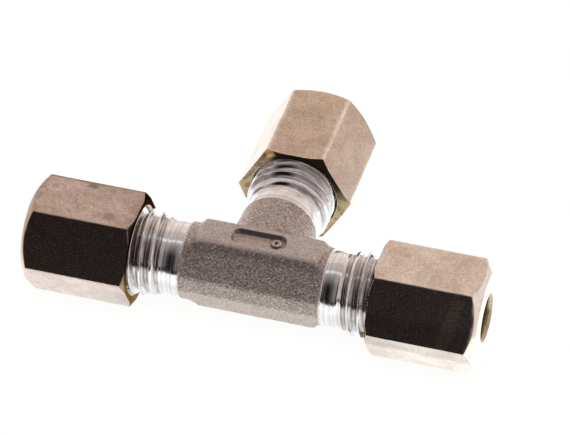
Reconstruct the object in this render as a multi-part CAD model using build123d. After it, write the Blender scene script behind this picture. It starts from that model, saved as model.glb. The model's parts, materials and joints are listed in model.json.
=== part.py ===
# Equal tee compression fitting (24 degree cone, cutting ring type) for 6 mm tube.
#
# A forged tee body carries three externally threaded ends.  Each end holds a
# loose cutting ring and a hexagonal union nut that is only started on its
# thread, the way the fitting is supplied.
#
# Millimetres, +Z up.  The origin is the centre of the flat on the underside of
# the forging.  The three port axes cross AXIS_H above it: the run goes along X,
# the branch along +Y.  Left is -X and the front is -Y.
#
# Every port is modelled in its own port frame: local Z is the port axis, with
# its zero at the crossing of the axes and growing outwards.  Names ending in _A
# are distances from the crossing, names ending in _R are radii.
from build123d import *

import os
from math import cos, radians, tan

os.makedirs("parts", exist_ok=True)

# ------------------------------------------------------- ports and their frames
FLAT_Z = 6.0            # upper and lower flats of the forging, from the port axes
AXIS_H = FLAT_Z         # port axes above the underside flat
CENTRE = (0, 0, AXIS_H)

# port: (axis direction, local X direction)
PORT_AXES = {
    "left": ((-1, 0, 0), (0, 1, 0)),
    "right": ((1, 0, 0), (0, 1, 0)),
    "branch": ((0, 1, 0), (1, 0, 0)),
}
# rest positions of the nuts' outer faces, from the crossing
NUT_FACE = {"left": 31.7, "right": 31.75, "branch": 32.06}
# where a thread crest passes: (angle in degrees, distance from the crossing)
CREST_AT = {"left": (-50.0, 14.14), "right": (50.0, 13.44), "branch": (-90.0, 13.4)}

# The shared thread and nut are modelled once here, then turned and shifted.
REF_CREST_A = 13.44     # crest height at angle zero
REF_FACE_A = 31.7       # outer face of the nut


def port_location(port, origin=(0, 0, 0)):
    """Location that takes a port frame to the given crossing point."""
    axis, local_x = PORT_AXES[port]
    return Plane(origin=origin, z_dir=axis, x_dir=local_x).location


ALONG_X = port_location("right")
ALONG_Y = port_location("branch")


def turned(points):
    """Solid of revolution about Z from (radius, height) points."""
    wire = Wire.make_polygon([Vector(r, 0, z) for r, z in points], close=True)
    return Solid.revolve(Face(wire), 360, Axis.Z)


# ----------------------------------------------------------- thread, M12 x 1.5
PITCH = 1.5
FLANK_SLOPE = tan(radians(30))
CREST_R = 5.95
ROOT_R = 5.08
CREST_W = 0.19          # flat on the crest
START_ANGLES = (30, 75, 130, 200, 250, 300)
MIN_GAIN = 40           # least volume that a sound ridge adds to its blank
MIN_OVERLAP = 5         # least volume of a ridge that is sunk into its blank


def thread_ridge(from_a, to_a, start_deg, offset, path_r, section):
    """Right-hand helical ridge about Z.

    section is a list of (radius, height) points about the ridge's centre.
    The centre passes at REF_CREST_A + offset where the angle from X is zero;
    the ridge starts just below from_a, at the angle start_deg, and ends at to_a.
    """
    start_a = REF_CREST_A + offset + PITCH * (start_deg / 360.0)
    while start_a > from_a:
        start_a -= PITCH
    path = Edge.make_helix(PITCH, to_a - start_a, path_r)
    wire = Wire.make_polygon([Vector(r, 0, z) for r, z in section], close=True)
    ridge = Solid.sweep(Face(wire), path=path, is_frenet=True)
    return ridge.moved(Location((0, 0, start_a), (0, 0, start_deg)))


def threaded(blank, keep, from_a, to_a, offset, path_r, section):
    """Yield the blank with its ridge, for each start angle that fuses soundly.

    The ridge is trimmed to keep.  A fuse can fail at an unlucky start angle,
    which changes only where the trimmed-off tail begins.
    """
    for start_deg in START_ANGLES:
        ridge = thread_ridge(from_a, to_a, start_deg, offset, path_r, section) & keep
        fused = blank + ridge
        least = blank.volume + MIN_GAIN
        most = blank.volume + ridge.volume - MIN_OVERLAP
        if len(fused.solids()) == 1 and least < fused.volume < most:
            yield fused


def phase(port, shift=0.0):
    """Turn about the port axis that puts the thread where CREST_AT says."""
    angle, crest_a = CREST_AT[port]
    return angle - 360.0 * (crest_a - shift - REF_CREST_A) / PITCH


# ------------------------------------------------------------------- male ends
TUBE_OD = 6.0
FORGE_END_A = 10.0      # shoulders of the forging
END_A = 19.0            # outer face of a male end
BORE_R = 2.0            # flow passage
SOCKET_R = TUBE_OD / 2 + 0.05   # tube socket wall
STOP_A = 12.0           # tube stop
CONE_R = 4.05           # mouth of the sealing cone
CONE_SLOPE = tan(radians(12))   # 24 degree included angle
BORE_PAST = 0.5         # the bore cutter's overshoot beyond the end

STUB_R, STUB_A = 4.4, 6.0       # part of the core buried in the forging
CORE_PAST = 1.4         # the core's overshoot, cut back with the lead chamfer
RUNOUT_A = 12.15        # where the thread run-out cone meets the neck
RUNOUT_SLOPE = tan(radians(25))
RUNOUT_IN_R = ROOT_R - 0.6
RUNOUT_OUT_R = 7.5
KEEP_PAST = 0.7         # the ridge's overshoot beyond the end
RIDGE_FROM_A = 10.6
RIDGE_PAST = 2.2        # the helix's overshoot before it is trimmed
RIDGE_SINK = 0.15       # how deep the ridge sits in the core
LEAD_R = 4.95           # small end of the 45 degree lead chamfer
LEAD_LEN = 2.6
LEAD_CUT_R, LEAD_CUT_A = 9, 26  # outer extent of the lead cutter


def male_end():
    """Machined neck and thread of one end, crest at the reference phase."""
    # the ridge fades out along a cone
    keep = turned([
        (0, RUNOUT_A + (RUNOUT_IN_R - ROOT_R) / RUNOUT_SLOPE),
        (RUNOUT_IN_R, RUNOUT_A + (RUNOUT_IN_R - ROOT_R) / RUNOUT_SLOPE),
        (RUNOUT_OUT_R, RUNOUT_A + (RUNOUT_OUT_R - ROOT_R) / RUNOUT_SLOPE),
        (RUNOUT_OUT_R, END_A + KEEP_PAST),
        (0, END_A + KEEP_PAST),
    ])
    core = turned([
        (0, STUB_A), (STUB_R, STUB_A), (STUB_R, FORGE_END_A), (ROOT_R, FORGE_END_A),
        (ROOT_R, END_A + CORE_PAST), (0, END_A + CORE_PAST),
    ])
    lead = turned([
        (0, END_A), (LEAD_R, END_A), (LEAD_R + LEAD_LEN, END_A - LEAD_LEN),
        (LEAD_CUT_R, END_A - LEAD_LEN), (LEAD_CUT_R, LEAD_CUT_A), (0, LEAD_CUT_A),
    ])
    foot_r = ROOT_R - RIDGE_SINK
    crest = CREST_W / 2
    foot = crest + (CREST_R - foot_r) * FLANK_SLOPE
    section = [(foot_r, -foot), (CREST_R, -crest), (CREST_R, crest), (foot_r, foot)]
    for end in threaded(core, keep, RIDGE_FROM_A, END_A + RIDGE_PAST, 0.0, foot_r, section):
        end = end - lead
        cut_back = end.bounding_box().max.Z < END_A + 0.01
        if len(end.solids()) == 1 and end.is_valid and cut_back:
            return end.solids()[0]
    raise ValueError("male end")


def port_bores():
    """Flow passage, tube socket and sealing cone of one end."""
    return turned([
        (0, 0), (BORE_R, 0), (BORE_R, STOP_A), (SOCKET_R, STOP_A),
        (SOCKET_R, END_A - (CONE_R - SOCKET_R) / CONE_SLOPE),
        (CONE_R + BORE_PAST * CONE_SLOPE, END_A + BORE_PAST), (0, END_A + BORE_PAST),
    ])


# -------------------------------------------------------------------- forging
FLAT_FRONT = 2.25       # edge of the flats towards the front
FLAT_BACK = 2.5         # edge of the flats towards the branch
BAND_Y = 5.1            # vertical parting band
BAND_Z = 1.1            # half height of the band
EDGE_FLAT = 0.7         # rounding where the flats meet the slopes
EDGE_BAND = 0.35        # rounding of the band's edges
FULL_R = 7.2            # envelope that clears the full section
RUN_END_R = 5.3         # round that the run narrows to at its shoulders
FULL_X = {-1: 6.9, 1: 7.8}      # end of the full section, left and right
ROUND_X = {-1: 9.1, 1: 9.4}     # start of the plain round, left and right
RAMP_STEPS = 10
LIP = 0.18              # chamfer on the turned edge of each shoulder
# turned shoulder of the run: (radius, distance from the crossing)
SHOULDER = [
    (0, 8.4), (4.6, 8.4), (4.85, 9.35), (RUN_END_R, 9.7),
    (RUN_END_R, FORGE_END_A - LIP), (RUN_END_R - LIP, FORGE_END_A), (0, FORGE_END_A),
]
BOSS_R = 5.3            # branch boss at its shoulder
BOSS_ROOT_R = 5.85      # the same drafted boss, at the run's axis
BOSS_DRAFT = (BOSS_ROOT_R - BOSS_R) / FORGE_END_A
BOSS_FILLETS = (2.4, 2.0, 1.7, 1.5, 1.3, 1.1, 0.9)  # largest that works is used


def ramp(side):
    """Smooth S-curve from the round end of the run out to the full envelope."""
    full, plain = FULL_X[side], ROUND_X[side]
    points = []
    for k in range(RAMP_STEPS + 1):
        t = k / RAMP_STEPS
        ease = t * t * (3 - 2 * t)
        radius = RUN_END_R + (FULL_R - RUN_END_R) * ease
        points.append(Vector(radius, 0, side * (plain + (full - plain) * t)))
    return points


def run_envelope():
    """Turned envelope that narrows the run to a round at both ends."""
    left, right = ramp(-1), ramp(1)[::-1]
    axis_left, axis_right = Vector(0, 0, -FORGE_END_A), Vector(0, 0, FORGE_END_A)
    rim_left = Vector(RUN_END_R, 0, -FORGE_END_A)
    rim_right = Vector(RUN_END_R, 0, FORGE_END_A)
    outline = [
        Edge.make_line(axis_left, rim_left),
        Edge.make_line(rim_left, left[0]),
        Edge.make_spline(left),
        Edge.make_line(left[-1], right[0]),
        Edge.make_spline(right),
        Edge.make_line(right[-1], rim_right),
        Edge.make_line(rim_right, axis_right),
        Edge.make_line(axis_right, axis_left),
    ]
    return Solid.revolve(Face(Wire(outline)), 360, Axis.Z).moved(ALONG_X)


def run_block():
    """Eight-cornered run section with its rounded edges and turned-down ends."""
    section = [
        (FLAT_BACK, FLAT_Z), (BAND_Y, BAND_Z), (BAND_Y, -BAND_Z), (FLAT_BACK, -FLAT_Z),
        (-FLAT_FRONT, -FLAT_Z), (-BAND_Y, -BAND_Z), (-BAND_Y, BAND_Z), (-FLAT_FRONT, FLAT_Z),
    ]
    wire = Wire.make_polygon([Vector(-FORGE_END_A, y, z) for y, z in section], close=True)
    block = Solid.extrude(Face(wire), Vector(2 * FORGE_END_A, 0, 0))

    def long_edges(y, z):
        return [
            e for e in block.edges()
            if abs(e.length - 2 * FORGE_END_A) < 1e-6
            and abs(abs(e.center().Y) - y) < 1e-6 and abs(abs(e.center().Z) - z) < 1e-6
        ]

    flat_edges = long_edges(FLAT_FRONT, FLAT_Z) + long_edges(FLAT_BACK, FLAT_Z)
    block = block.fillet(EDGE_FLAT, flat_edges)
    block = block.fillet(EDGE_BAND, long_edges(BAND_Y, BAND_Z))
    return block & run_envelope()


def on_boss(edge):
    """True if the edge lies on the boss's drafted wall, clear of its shoulder."""
    for t in (0.0, 0.25, 0.5, 0.75, 1.0):
        p = edge.position_at(t)
        radius = (p.X ** 2 + p.Z ** 2) ** 0.5
        off_wall = abs(radius - (BOSS_ROOT_R - BOSS_DRAFT * p.Y)) > 2e-3
        if p.Y > FORGE_END_A - 0.5 or off_wall:
            return False
    return True


def forging():
    """Tee forging with its crossing at the local origin."""
    body = run_block()
    for side in (-1, 1):
        body = body + turned([(r, side * a) for r, a in SHOULDER]).moved(ALONG_X)
    boss = turned([
        (0, 0), (BOSS_ROOT_R, 0), (BOSS_R + BOSS_DRAFT * LIP, FORGE_END_A - LIP),
        (BOSS_R - LIP, FORGE_END_A), (0, FORGE_END_A),
    ]).moved(ALONG_Y)
    body = one_solid(body + boss, "forging")

    root = [e for e in body.edges() if on_boss(e)]
    for radius in BOSS_FILLETS:
        # the kernel raises an error on a radius too large for the root
        try:
            filleted = body.fillet(radius, root)
            if filleted.is_valid and len(filleted.solids()) == 1:
                return filleted
        except Exception:
            continue
    return body


# ------------------------------------------------------ pocket in the upper flat
POCKET_X = 3.85         # half length
POCKET_Y0, POCKET_Y1 = -1.25, 1.6
POCKET_DEPTH = 0.6
POCKET_FLARE = 0.42     # extra half width of the pocket mouth
POCKET_R = 1.2
POCKET_PAST = 0.25      # share of depth and flare that the cutter overshoots
STUD_X, STUD_Y = 2.45, 0.3
STUD_R, STUD_H = 0.8, 0.36
STUD_ROUND = 0.1
STUD_SINK = 0.01        # the stud starts this far below the pocket floor
DOT_R, DOT_DEPTH = 0.24, 0.26
DOT_TIP_R = 0.001


def pocket():
    """Cutter for a flared, round-cornered recess that leaves a dotted stud."""
    floor_z = FLAT_Z - POCKET_DEPTH

    def outline(grow, z):
        shape = RectangleRounded(
            2 * POCKET_X + 2 * grow, POCKET_Y1 - POCKET_Y0 + 2 * grow, POCKET_R + grow
        )
        return shape.wire().moved(Location((0, (POCKET_Y0 + POCKET_Y1) / 2, z)))

    floor = outline(-POCKET_FLARE, floor_z)
    mouth = outline(POCKET_PAST * POCKET_FLARE, FLAT_Z + POCKET_PAST * POCKET_DEPTH)
    recess = Solid.make_loft([floor, mouth], ruled=True)

    stud_z = floor_z - STUD_SINK
    stud = Solid.make_cylinder(STUD_R, STUD_H, Plane(origin=(STUD_X, STUD_Y, stud_z)))
    rim = [
        e for e in stud.edges()
        if e.center().Z > floor_z + 0.05 and e.geom_type == GeomType.CIRCLE
    ]
    stud = stud.fillet(STUD_ROUND, rim)
    dot_plane = Plane(origin=(STUD_X, STUD_Y, stud_z + STUD_H - DOT_DEPTH))
    dot = Solid.make_cone(DOT_TIP_R, DOT_R, DOT_DEPTH, dot_plane)
    return recess - (stud - dot)


def tee_body():
    """Forging with its pocket, three male ends and the bores through them."""
    body = forging() - pocket()
    end = male_end()
    for port in PORT_AXES:
        turn = Location((0, 0, 0), (0, 0, phase(port)))
        body = body + end.moved(turn).moved(port_location(port))
    for port in PORT_AXES:
        body = body - port_bores().moved(port_location(port))
    return body.moved(Location(CENTRE))


# ------------------------------------------------------------------- union nut
# depths are measured inwards from the outer face
NUT_AF = 14.0
NUT_LEN = 15.0
NUT_FACE_R = 6.4        # outer end face inside its chamfer
NUT_FACE_SLOPE = tan(radians(36))
NUT_BACK_R = 7.3        # inner end face inside its chamfer
NUT_BACK_SLOPE = tan(radians(30))
NUT_BLANK_R = 8.6       # round blank, larger than the hexagon's corners
NUT_EDGE = 0.18         # rounding of the six long edges
NUT_MOUTH_R = 3.5
NUT_MOUTH_DEPTH = 0.4
NUT_TUBE_R = 3.1
NUT_TUBE_DEPTH = 2.5    # where the tube hole opens into the 45 degree seat
NUT_CHAMBER_R = 5.1
NUT_MINOR_R = 5.25
NUT_MAJOR_R = 6.08
NUT_ENTRY = 0.12        # 45 degree chamfer of the thread's mouth
RELIEF_0, RELIEF_1 = 6.2, 7.9   # depths of the thread relief
RELIEF_STEP = 0.4       # length of the cone that opens the relief
THREAD_GAP = 0.07       # axial flank clearance on each side
NUT_RIDGE_SINK = 0.14   # how deep the ridge sits in the wall
KEEP_IN_R = 4.6         # inner radius of the ridge's trimming solid
KEEP_WALL = 0.8         # the trimming solid's reach beyond the ridge's foot
KEEP_ENTRY = 0.08       # shift of its entry cone, outwards from the back face
NUT_RIDGE_PAST = 1.2    # the helix's overshoot behind the back face
NUT_RIDGE_DEPTH = 6.0   # depth where the helix ends
PRISM_PAST = 2          # the hexagon prism's overshoot at each end


def tapped_blank():
    """Round blank with chamfered ends and the whole tapped bore.

    Its outer face is at REF_FACE_A and its thread is at the reference phase.
    """
    def inward(depth):
        return REF_FACE_A - depth

    back = inward(NUT_LEN)
    blank = turned([
        (NUT_MOUTH_R, inward(0)),
        (NUT_TUBE_R, inward(NUT_MOUTH_DEPTH)),
        (NUT_TUBE_R, inward(NUT_TUBE_DEPTH)),
        (NUT_CHAMBER_R, inward(NUT_TUBE_DEPTH + NUT_CHAMBER_R - NUT_TUBE_R)),
        (NUT_CHAMBER_R, inward(RELIEF_0)),
        (NUT_MAJOR_R, inward(RELIEF_0 + RELIEF_STEP)),
        (NUT_MAJOR_R, inward(NUT_LEN - NUT_ENTRY)),
        (NUT_MAJOR_R + NUT_ENTRY, back),
        (NUT_BACK_R, back),
        (NUT_BLANK_R, back + (NUT_BLANK_R - NUT_BACK_R) * NUT_BACK_SLOPE),
        (NUT_BLANK_R, inward((NUT_BLANK_R - NUT_FACE_R) * NUT_FACE_SLOPE)),
        (NUT_FACE_R, inward(0)),
    ])
    # the nut's ridge fills the male groove, less the clearance
    foot_r = NUT_MAJOR_R + NUT_RIDGE_SINK

    def half_width(radius):
        male = CREST_W / 2 + THREAD_GAP + (CREST_R - radius) * FLANK_SLOPE
        return PITCH / 2 - male

    tip, foot = half_width(NUT_MINOR_R), half_width(foot_r)
    section = [(foot_r, foot), (NUT_MINOR_R, tip), (NUT_MINOR_R, -tip), (foot_r, -foot)]
    # 45 degree entry at the back face, and the same run-out at the relief
    keep_r = foot_r + KEEP_WALL
    keep = turned([
        (keep_r, back + KEEP_ENTRY - KEEP_WALL),
        (KEEP_IN_R, back + KEEP_ENTRY + foot_r - KEEP_IN_R),
        (KEEP_IN_R, inward(RELIEF_1) - (foot_r - KEEP_IN_R)),
        (keep_r, inward(RELIEF_1) + KEEP_WALL),
    ])
    from_a, to_a = back - NUT_RIDGE_PAST, inward(NUT_RIDGE_DEPTH)
    for tapped in threaded(blank, keep, from_a, to_a, PITCH / 2, NUT_MINOR_R, section):
        if tapped.is_valid:
            return tapped.solids()[0]
    raise ValueError("tapped blank")


def union_nut(port, tapped):
    """Tapped blank cut to a hexagon, resting at its place on the port."""
    face_a = NUT_FACE[port]
    length = NUT_LEN + 2 * PRISM_PAST
    hexagon = RegularPolygon(NUT_AF / 2 / cos(radians(30)), 6, major_radius=True)
    prism = Solid.extrude(hexagon.face(), Vector(0, 0, length))
    prism = prism.moved(Location((0, 0, face_a - NUT_LEN - PRISM_PAST)))
    prism = prism.fillet(NUT_EDGE, [e for e in prism.edges() if abs(e.length - length) < 1e-6])
    shift = face_a - REF_FACE_A
    nut = tapped.moved(Location((0, 0, shift), (0, 0, phase(port, shift)))) & prism
    return nut.moved(port_location(port, CENTRE))


# ---------------------------------------------------------------- cutting ring
RING_LEN = 9.5
RING_SEAT = 2.68        # ring's rear end, from the nut's outer face
# (radius, distance from the nose)
RING_PROFILE = [
    (SOCKET_R, 0), (3.62, 0), (3.72, 0.55), (3.98, 2.4), (4.02, 2.45), (4.32, 4.9),
    (4.32, 5.5), (4.85, 6.3), (4.85, 7.85), (3.2, RING_LEN), (SOCKET_R, RING_LEN),
    (SOCKET_R, 3.4), (3.2, 3.2), (3.2, 1.15), (SOCKET_R, 0.9),
]


def cutting_ring(port):
    """Cutting ring; its nose points at the cone of the male end."""
    nose_a = NUT_FACE[port] - RING_SEAT - RING_LEN
    ring = turned([(r, nose_a + along) for r, along in RING_PROFILE])
    return ring.moved(port_location(port, CENTRE))


# ---------------------------------------------------------------------- output
def one_solid(shape, name):
    """The shape's only solid, which must be valid."""
    solids = shape.solids()
    assert len(solids) == 1, (name, len(solids))
    assert solids[0].is_valid, name
    return solids[0]


def save(shape, name):
    shape = one_solid(shape, name)
    shape.label = name
    export_step(shape, f"parts/{name}.step")


if __name__ == "__main__":
    save(tee_body(), "tee_body")
    tapped = tapped_blank()
    for port in PORT_AXES:
        save(union_nut(port, tapped), f"union_nut_{port}")
        save(cutting_ring(port), f"cutting_ring_{port}")
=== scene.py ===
# A 6 mm equal tee compression fitting: a forged body with three male threaded ends, each with
# a hexagonal union nut and a cutting ring. The run lies along X, the branch points to +Y, +Z is
# up, and the bores meet at height AXIS_Z. The camera looks from the front (-Y) and above.
# Meshes are written in millimetres in a port's own frame, whose Z is the way out along its bore
# ("along" in the code, measured from the crossing), and are then placed in metres.
import itertools
import json
import math

import bmesh
import bpy
import numpy as np
from mathutils import Matrix, Vector


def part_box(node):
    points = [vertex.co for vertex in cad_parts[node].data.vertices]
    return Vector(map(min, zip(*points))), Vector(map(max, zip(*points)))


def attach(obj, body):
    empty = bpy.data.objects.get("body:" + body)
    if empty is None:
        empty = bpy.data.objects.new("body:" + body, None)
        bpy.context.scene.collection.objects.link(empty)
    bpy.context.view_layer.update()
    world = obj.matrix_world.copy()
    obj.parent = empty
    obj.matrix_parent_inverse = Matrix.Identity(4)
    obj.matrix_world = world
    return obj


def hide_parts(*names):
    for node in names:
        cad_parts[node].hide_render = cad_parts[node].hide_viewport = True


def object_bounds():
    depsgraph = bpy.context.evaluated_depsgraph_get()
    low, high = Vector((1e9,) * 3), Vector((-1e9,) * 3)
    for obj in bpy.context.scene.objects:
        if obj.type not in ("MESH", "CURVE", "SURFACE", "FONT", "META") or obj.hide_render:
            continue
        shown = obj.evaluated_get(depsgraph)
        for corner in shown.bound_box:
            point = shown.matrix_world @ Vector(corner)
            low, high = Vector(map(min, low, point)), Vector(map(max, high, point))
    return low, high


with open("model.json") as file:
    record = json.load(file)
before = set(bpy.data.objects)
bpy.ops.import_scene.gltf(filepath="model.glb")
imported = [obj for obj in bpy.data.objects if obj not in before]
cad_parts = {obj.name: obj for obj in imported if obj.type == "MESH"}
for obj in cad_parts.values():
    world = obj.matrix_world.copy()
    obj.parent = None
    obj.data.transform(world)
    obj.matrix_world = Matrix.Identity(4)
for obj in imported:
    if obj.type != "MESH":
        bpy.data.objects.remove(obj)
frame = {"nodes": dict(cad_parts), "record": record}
CAD_LO, CAD_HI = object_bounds()

MM = 0.001
TAU = 2 * math.pi
SQ3 = math.sqrt(3.0)      # radial fall per axial millimetre of a 60 degree thread's flank

# ------------------------------------------------------- sizes, in millimetres
socket = {m["name"]: m for m in frame["record"]["mounts"]}["right_tube_socket"]
AXIS_Z = socket["pos_m"][2] / MM

# male ends: places along the bore and radii
END_AT = 19.0
SHOULDER_AT = 10.0
HIDDEN_AT = SHOULDER_AT - 0.15      # where the turned end starts, inside the forging
STOP_AT = 12.0
PASS_R = 2.0
SOCKET_R = socket["dims"]["r_mm"]
CONE_R = 4.05
CONE_AT = END_AT - (CONE_R - SOCKET_R) / math.tan(math.radians(12))
NECK_MID_AT, NECK_HALF, NECK_BULGE = 11.0, 1.05, 0.10

# thread
PITCH, CREST_R, ROOT_R, CREST_W = 1.5, 5.95, 5.08, 0.19
THREAD_ORIGIN = 13.44               # the height that thread phases are counted from
RUNOUT_AT, RUNOUT_SLOPE, LEAD_R = 12.15, math.tan(math.radians(25)), 4.95
CREST_AT = {"left": (-50.0, 14.14), "right": (50.0, 13.44), "branch": (-90.0, 13.4)}  # deg, mm
THREAD_GAP = 0.07                   # axial play between nut and male thread

# nuts: depths are measured inward from the nut's outer face
left_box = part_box("union_nut_left")
NUT_LEN = (left_box[1].x - left_box[0].x) / MM
NUT_AF, NUT_FACE_R, NUT_BACK_R = 14.0, 6.4, 7.3
FACE_SLOPE, BACK_SLOPE = math.tan(math.radians(36)), math.tan(math.radians(30))
NUT_ROUND = 0.36                    # radius of the hexagon's corners
NUT_TUBE_R = SOCKET_R + 0.05
NUT_MOUTH_R, NUT_CHAMBER_R, NUT_MINOR_R, NUT_MAJOR_R = 3.5, 5.1, 5.25, 6.08
ENTRY_DEPTH, SEAT_DEPTH = 0.44, 2.5
RELIEF_START, RELIEF_END = 6.2, 7.9
OUTER_FACE_AT = {
    "left": -left_box[0].x / MM,
    "right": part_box("union_nut_right")[1].x / MM,
    "branch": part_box("union_nut_branch")[1].y / MM,
}

# cutting rings
RING_LEN, RING_SEAT = 9.5, 2.68

# forging: half sizes in X and Y of the recess in the top
POCKET_HALF = (4.1, 1.7)

PORTS = ("left", "right", "branch")
AXES = {  # port: its local X and local Z
    "left": (Vector((0, 1, 0)), Vector((-1, 0, 0))),
    "right": (Vector((0, 1, 0)), Vector((1, 0, 0))),
    "branch": (Vector((1, 0, 0)), Vector((0, 1, 0))),
}


def port_matrix(port):
    """From a port's frame in millimetres to the world in metres."""
    x, z = AXES[port]
    matrix = Matrix((x, z.cross(x), z)).transposed().to_4x4()
    matrix.translation = Vector((0, 0, AXIS_Z))
    return Matrix.Scale(MM, 4) @ matrix


# ------------------------------------------------------------------ small maths
def soft_min(first, second, blend):
    near = np.maximum(blend - np.abs(first - second), 0.0) / blend
    return np.minimum(first, second) - near * near * blend / 4


def soft_max(first, second, blend):
    return -soft_min(-np.asarray(first), -np.asarray(second), blend)


def scatter(cells, seed):
    """Scrambled value in 0..1 for whole-numbered cells (n, 3); the factors only mix bits."""
    x, y, z = cells.T
    bits = (x * 374761393 + y * 668265263 + z * 1274126177 + seed * 974634777) & 0xFFFFFFFF
    bits = ((bits ^ (bits >> 13)) * 1274126177) & 0xFFFFFFFF
    bits = ((bits ^ (bits >> 16)) * 2246822519) & 0xFFFFFFFF
    return ((bits ^ (bits >> 15)) & 0xFFFFFF) / float(0xFFFFFF)


def value_noise(points, scale, seed):
    """Smooth value noise in about -1..1 at points (n, 3)."""
    scaled = points / scale
    cell = np.floor(scaled).astype(np.int64)
    part = scaled - cell
    part = part * part * part * (part * (part * 6 - 15) + 10)
    total = 0.0
    for step in itertools.product((0, 1), repeat=3):
        weight = np.where(step, part, 1 - part)
        value = scatter(cell + np.array(step), seed)
        total = total + weight[:, 0] * weight[:, 1] * weight[:, 2] * value
    return total * 2 - 1


def cell_noise(points, scale, seed):
    """Distance to the nearest scattered point, in units of scale."""
    scaled = points / scale
    home = np.floor(scaled).astype(np.int64)
    best = np.full(len(points), 9.0)      # farther than any neighbour
    for step in itertools.product((-1, 0, 1), repeat=3):
        cell = home + np.array(step)
        spot = np.stack([scatter(cell, seed + extra) for extra in (0, 11, 23)], 1)
        best = np.minimum(best, ((cell + spot - scaled) ** 2).sum(1))
    return np.sqrt(best)


# ------------------------------------------------------------- turned-part grids
def round_corners(points):
    """Turns a profile of (r, along, radius) into (r, along) with short arcs at its corners."""
    out = []
    for i, (r, along, radius) in enumerate(points):
        if radius <= 0:
            out.append((r, along))
            continue
        corner = np.array([r, along], float)
        before = np.array(points[i - 1][:2], float) - corner
        after = np.array(points[(i + 1) % len(points)][:2], float) - corner
        before_len, after_len = np.linalg.norm(before), np.linalg.norm(after)
        before, after = before / before_len, after / after_len
        half = math.acos(max(-1, min(1, float(before @ after)))) / 2
        cut = min(radius / math.tan(half), before_len * 0.45, after_len * 0.45)
        fitted = cut * math.tan(half)
        middle = (before + after) / np.linalg.norm(before + after)
        centre = corner + middle * (fitted / math.sin(half))
        first, last = corner + before * cut - centre, corner + after * cut - centre
        start, end = math.atan2(first[1], first[0]), math.atan2(last[1], last[0])
        sweep = (end - start + math.pi) % TAU - math.pi
        for k in range(4):
            turn = start + sweep * k / 3
            out.append((
                float(centre[0] + fitted * math.cos(turn)),
                float(centre[1] + fitted * math.sin(turn)),
            ))
    return out


def spaced(points, step, closed=False):
    """Adds points along a profile so that no step is longer than step."""
    out = []
    count = len(points)
    for i in range(count if closed else count - 1):
        (r0, along0), (r1, along1) = points[i], points[(i + 1) % count]
        parts = max(1, int(math.ceil(math.hypot(r1 - r0, along1 - along0) / step)))
        for k in range(parts):
            out.append((r0 + (r1 - r0) * k / parts, along0 + (along1 - along0) * k / parts))
    if not closed:
        out.append(points[-1])
    return out


def rows_from(points, phi):
    """Grid rows (radius, along), one value per column angle phi."""
    one = np.ones_like(phi)
    return [(one * r, one * along) for r, along in points]


def thread_phase(port):
    """Angle at which a port's crest passes THREAD_ORIGIN."""
    angle, crest = CREST_AT[port]
    return math.radians(angle) - TAU * (crest - THREAD_ORIGIN) / PITCH


def crest_distance(along, phi, phase):
    """Axial distance from the nearest crest."""
    offset = along - THREAD_ORIGIN - PITCH * (phi - phase) / TAU
    return np.abs(offset - PITCH * np.round(offset / PITCH))


def male_radius(along, phi, phase):
    """Radius of the male thread's surface, with its run-out and lead chamfer."""
    flank = CREST_R - (crest_distance(along, phi, phase) - CREST_W / 2) * SQ3
    r = soft_max(ROOT_R, soft_min(CREST_R, flank, blend=0.07), blend=0.12)
    run_out = ROOT_R + (along - RUNOUT_AT) * RUNOUT_SLOPE
    r = soft_max(ROOT_R, soft_min(r, run_out, blend=0.06), blend=0.06)
    lead = LEAD_R + (END_AT - along)
    return soft_min(r, lead, blend=0.05)


def female_radius(along, phi, phase, back, relief):
    """Radius of the nut's threaded wall, flared at its back and at the relief."""
    groove = CREST_R - (crest_distance(along, phi, phase) - CREST_W / 2 - THREAD_GAP) * SQ3
    r = soft_max(NUT_MINOR_R, soft_min(NUT_MAJOR_R, groove, blend=0.08), blend=0.06)
    entry = NUT_MAJOR_R + 0.14 - (along - back)
    r = soft_max(r, entry, blend=0.05)
    leave = NUT_MAJOR_R + 0.1 - (relief - along)
    r = soft_max(r, np.minimum(leave, NUT_MAJOR_R), blend=0.04)
    return np.minimum(r, NUT_MAJOR_R + 0.14)


# row offsets from the crest to the middle of the groove
HALF_MALE = np.array([0, 0.055, 0.09, 0.125, 0.2, 0.3, 0.4, 0.5, 0.57, 0.615, 0.66, 0.75])
HALF_FEMALE = np.array([0, 0.05, 0.1, 0.16, 0.26, 0.36, 0.46, 0.54, 0.58, 0.64, 0.75])


def thread_rows(low, high, phi, phase, radius, half_pitch):
    """Rows that follow the helix, clamped to low..high so that the ends weld shut."""
    offsets = np.concatenate([-half_pitch[::-1][:-1], half_pitch])[:-1]
    start = THREAD_ORIGIN - phase / TAU * PITCH
    first = math.floor((low - start) / PITCH) - 2
    last = math.ceil((high - start) / PITCH) + 1
    rows = []
    for turn in range(first, last + 1):
        for offset in offsets:
            base = start + turn * PITCH + offset
            if base + PITCH >= low - 1e-9 and base <= high:
                along = np.clip(base + PITCH * phi / TAU, low, high)
                rows.append((radius(along), along))
    return rows


# ------------------------------------------------------------------ mesh helpers
def vectors(vertices, key):
    """A vector property of all vertices as (n, 3)."""
    flat = np.zeros(len(vertices) * 3, np.float32)
    vertices.foreach_get(key, flat)
    return flat.reshape(-1, 3).astype(float)


def set_positions(mesh, places):
    mesh.vertices.foreach_set("co", places.astype(np.float32).ravel())


def set_attribute(mesh, name, values):
    attribute = mesh.attributes.new(name, "FLOAT", "POINT")
    flat = np.ascontiguousarray(values, dtype=np.float32).ravel()
    attribute.data.foreach_set("value", flat)


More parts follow.
